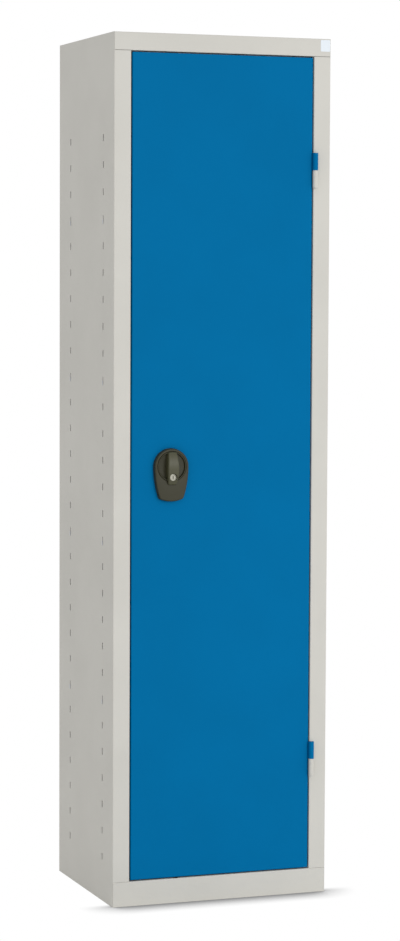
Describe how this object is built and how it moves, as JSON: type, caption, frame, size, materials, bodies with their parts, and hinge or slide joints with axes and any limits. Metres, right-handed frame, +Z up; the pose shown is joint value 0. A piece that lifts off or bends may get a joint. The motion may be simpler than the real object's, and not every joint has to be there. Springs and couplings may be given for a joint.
{
  "type": "storage cabinet",
  "caption": "Tall narrow steel cabinet with an inset hinged door, a lockable rotary handle that drives locking rods, hook-in shelves and slotted side walls.",
  "frame": {"origin": "middle of the cabinet's footprint, on the floor", "axes": "+Z up, the door faces -Y, +X to the right seen from the front"},
  "size_m": [0.5174, 0.431, 1.95],
  "materials": {
    "carcass_paint": "fine-textured light grey powder coat",
    "door_paint": "fine-textured blue powder coat",
    "escutcheon_plastic": "moulded dark grey",
    "grip_plastic": "moulded grey",
    "guide_plastic": "moulded black",
    "lock_nickel": "satin nickel plate",
    "zinc_steel": "bright zinc plate",
    "buffer_rubber": "moulded"
  },
  "bodies": {
    "carcass": {"left_side_panel": "carcass_paint", "right_side_panel": "carcass_paint", "back_panel": "carcass_paint", "top_panel": "carcass_paint", "bottom_panel": "carcass_paint", "base_frame": "carcass_paint", "shelf_1": "carcass_paint", "shelf_2": "carcass_paint", "shelf_3": "carcass_paint", "shelf_4": "carcass_paint", "shelf_clips": "zinc_steel", "door_buffers": "buffer_rubber", "rod_keepers": "guide_plastic", "hinge_frame_knuckles": "carcass_paint", "hinge_pins": "zinc_steel"},
    "door": {"door_panel": "door_paint", "door_stiffener": "door_paint", "hinge_door_knuckles": "door_paint", "handle_escutcheon": "escutcheon_plastic", "lock_case": "zinc_steel", "lock_case_cover": "zinc_steel", "handle_screws": "zinc_steel", "rod_guides": "guide_plastic"},
    "handle": {"knob_dish": "escutcheon_plastic", "grip_bar": "grip_plastic", "spindle": "zinc_steel", "spindle_washer": "zinc_steel", "spindle_screw": "zinc_steel", "pinion": "zinc_steel", "lock_cylinder": "lock_nickel"},
    "lock_plug": {"lock_plug": "lock_nickel", "lock_tongue": "zinc_steel"},
    "upper_rod": {"upper_rack": "zinc_steel", "upper_rod": "zinc_steel"},
    "lower_rod": {"lower_rack": "zinc_steel", "lower_rod": "zinc_steel"}
  },
  "joints": [
    {"name": "door_swing", "type": "hinge", "parent": "carcass", "child": "door", "pos_m": [0.2195, -0.2089, 0.975], "axis": [0, 0, 1], "range_deg": [0, 180]},
    {"name": "handle_turn", "type": "hinge", "parent": "door", "child": "handle", "pos_m": [-0.1235, -0.2025, 0.9905], "axis": [0, 1, 0], "range_deg": [0, 90]},
    {"name": "key_turn", "type": "hinge", "parent": "handle", "child": "lock_plug", "pos_m": [-0.1235, -0.2025, 0.9665], "axis": [0, -1, 0], "range_deg": [0, 90]},
    {"name": "upper_rod_slide", "type": "slide", "parent": "door", "child": "upper_rod", "axis": [0, 0, 1], "range_m": [0, 0.0189]},
    {"name": "lower_rod_slide", "type": "slide", "parent": "door", "child": "lower_rod", "axis": [0, 0, -1], "range_m": [0, 0.0189]}
  ],
  "couplings": [
    {"joint": "upper_rod_slide", "follows": "handle_turn", "m_per_rad": 0.012},
    {"joint": "lower_rod_slide", "follows": "handle_turn", "m_per_rad": 0.012}
  ]
}
